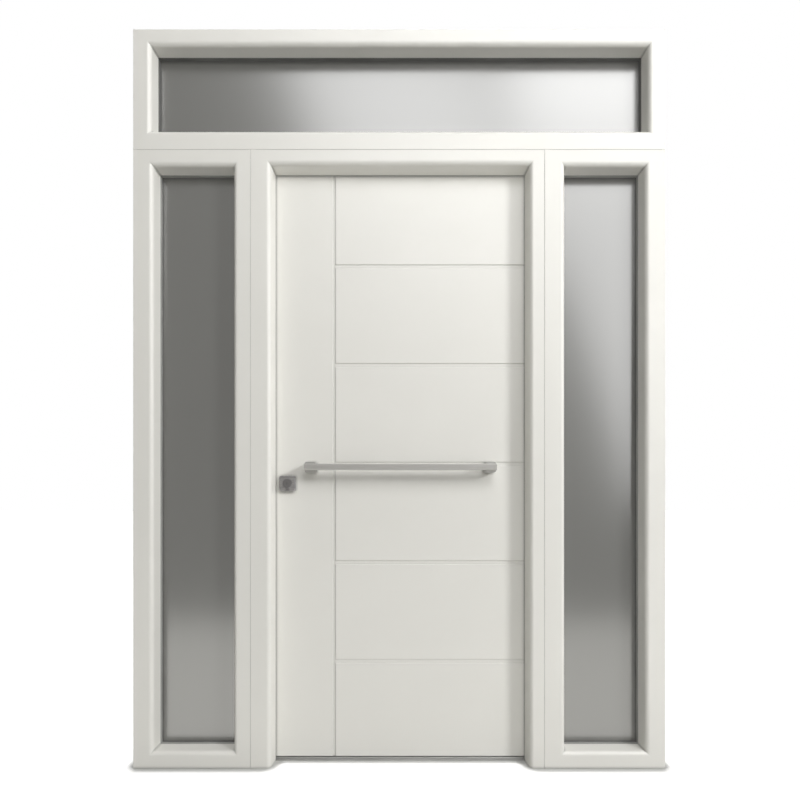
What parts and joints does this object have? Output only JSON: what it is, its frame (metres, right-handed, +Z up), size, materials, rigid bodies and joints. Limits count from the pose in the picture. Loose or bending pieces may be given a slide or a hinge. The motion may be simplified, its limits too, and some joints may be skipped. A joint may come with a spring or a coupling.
{
  "type": "entrance door set with side lights and top light",
  "caption": "White lacquered entrance door with a grooved leaf that opens inward on hinges, a level pull bar, two glazed side lights and a glazed top light.",
  "frame": {"origin": "on the floor under the threshold, in the middle plane of the closed leaf and halfway across the whole set", "axes": "+X to the right seen from outside, +Y into the building, +Z up"},
  "size_m": [1.8, 0.171, 2.5],
  "materials": {
    "white_frame_lacquer": "satin",
    "white_leaf_lacquer": "satin",
    "leaf_filling": "matte",
    "satin_glass": "satin",
    "spacer_metal": "satin",
    "seal_rubber": "matte",
    "brushed_steel": "brushed",
    "dark_lock_metal": "satin",
    "threshold_metal": "satin"
  },
  "bodies": {
    "frame": {"top_light_left_stile": "white_frame_lacquer", "top_light_right_stile": "white_frame_lacquer", "top_light_head": "white_frame_lacquer", "top_light_bottom_rail": "white_frame_lacquer", "top_light_panes": "satin_glass", "top_light_gaskets": "seal_rubber", "top_light_beads": "white_frame_lacquer", "left_light_outer_stile": "white_frame_lacquer", "left_light_inner_stile": "white_frame_lacquer", "left_light_head": "white_frame_lacquer", "left_light_bottom_rail": "white_frame_lacquer", "left_light_panes": "satin_glass", "left_light_gaskets": "seal_rubber", "left_light_beads": "white_frame_lacquer", "right_light_inner_stile": "white_frame_lacquer", "right_light_outer_stile": "white_frame_lacquer", "right_light_head": "white_frame_lacquer", "right_light_bottom_rail": "white_frame_lacquer", "right_light_panes": "satin_glass", "right_light_gaskets": "seal_rubber", "right_light_beads": "white_frame_lacquer", "glass_spacers": "spacer_metal", "door_head": "white_frame_lacquer", "lock_jamb": "white_frame_lacquer", "hinge_jamb": "white_frame_lacquer", "threshold": "threshold_metal", "weather_seal": "seal_rubber", "strike_plate": "brushed_steel", "hinge_frame_halves": "brushed_steel", "hinge_pins": "brushed_steel"},
    "leaf": {"hinge_leaf_halves": "brushed_steel", "leaf_outer_panel": "white_leaf_lacquer", "leaf_inner_panel": "white_leaf_lacquer", "leaf_lock_stile": "white_leaf_lacquer", "leaf_hinge_stile": "white_leaf_lacquer", "leaf_rails": "white_leaf_lacquer", "leaf_core": "leaf_filling", "leaf_bottom_seal": "seal_rubber", "lock_faceplate": "brushed_steel", "lock_bolts": "brushed_steel", "lock_rose": "dark_lock_metal", "lock_cylinder": "dark_lock_metal", "inner_roses": "brushed_steel", "inner_lever": "brushed_steel", "pull_bar": "brushed_steel", "pull_standoffs": "brushed_steel"}
  },
  "joints": [
    {"name": "leaf_hinge", "type": "hinge", "parent": "frame", "child": "leaf", "pos_m": [0.456, 0.04, 1.05], "axis": [0, 0, -1], "range_deg": [0, 100]}
  ]
}
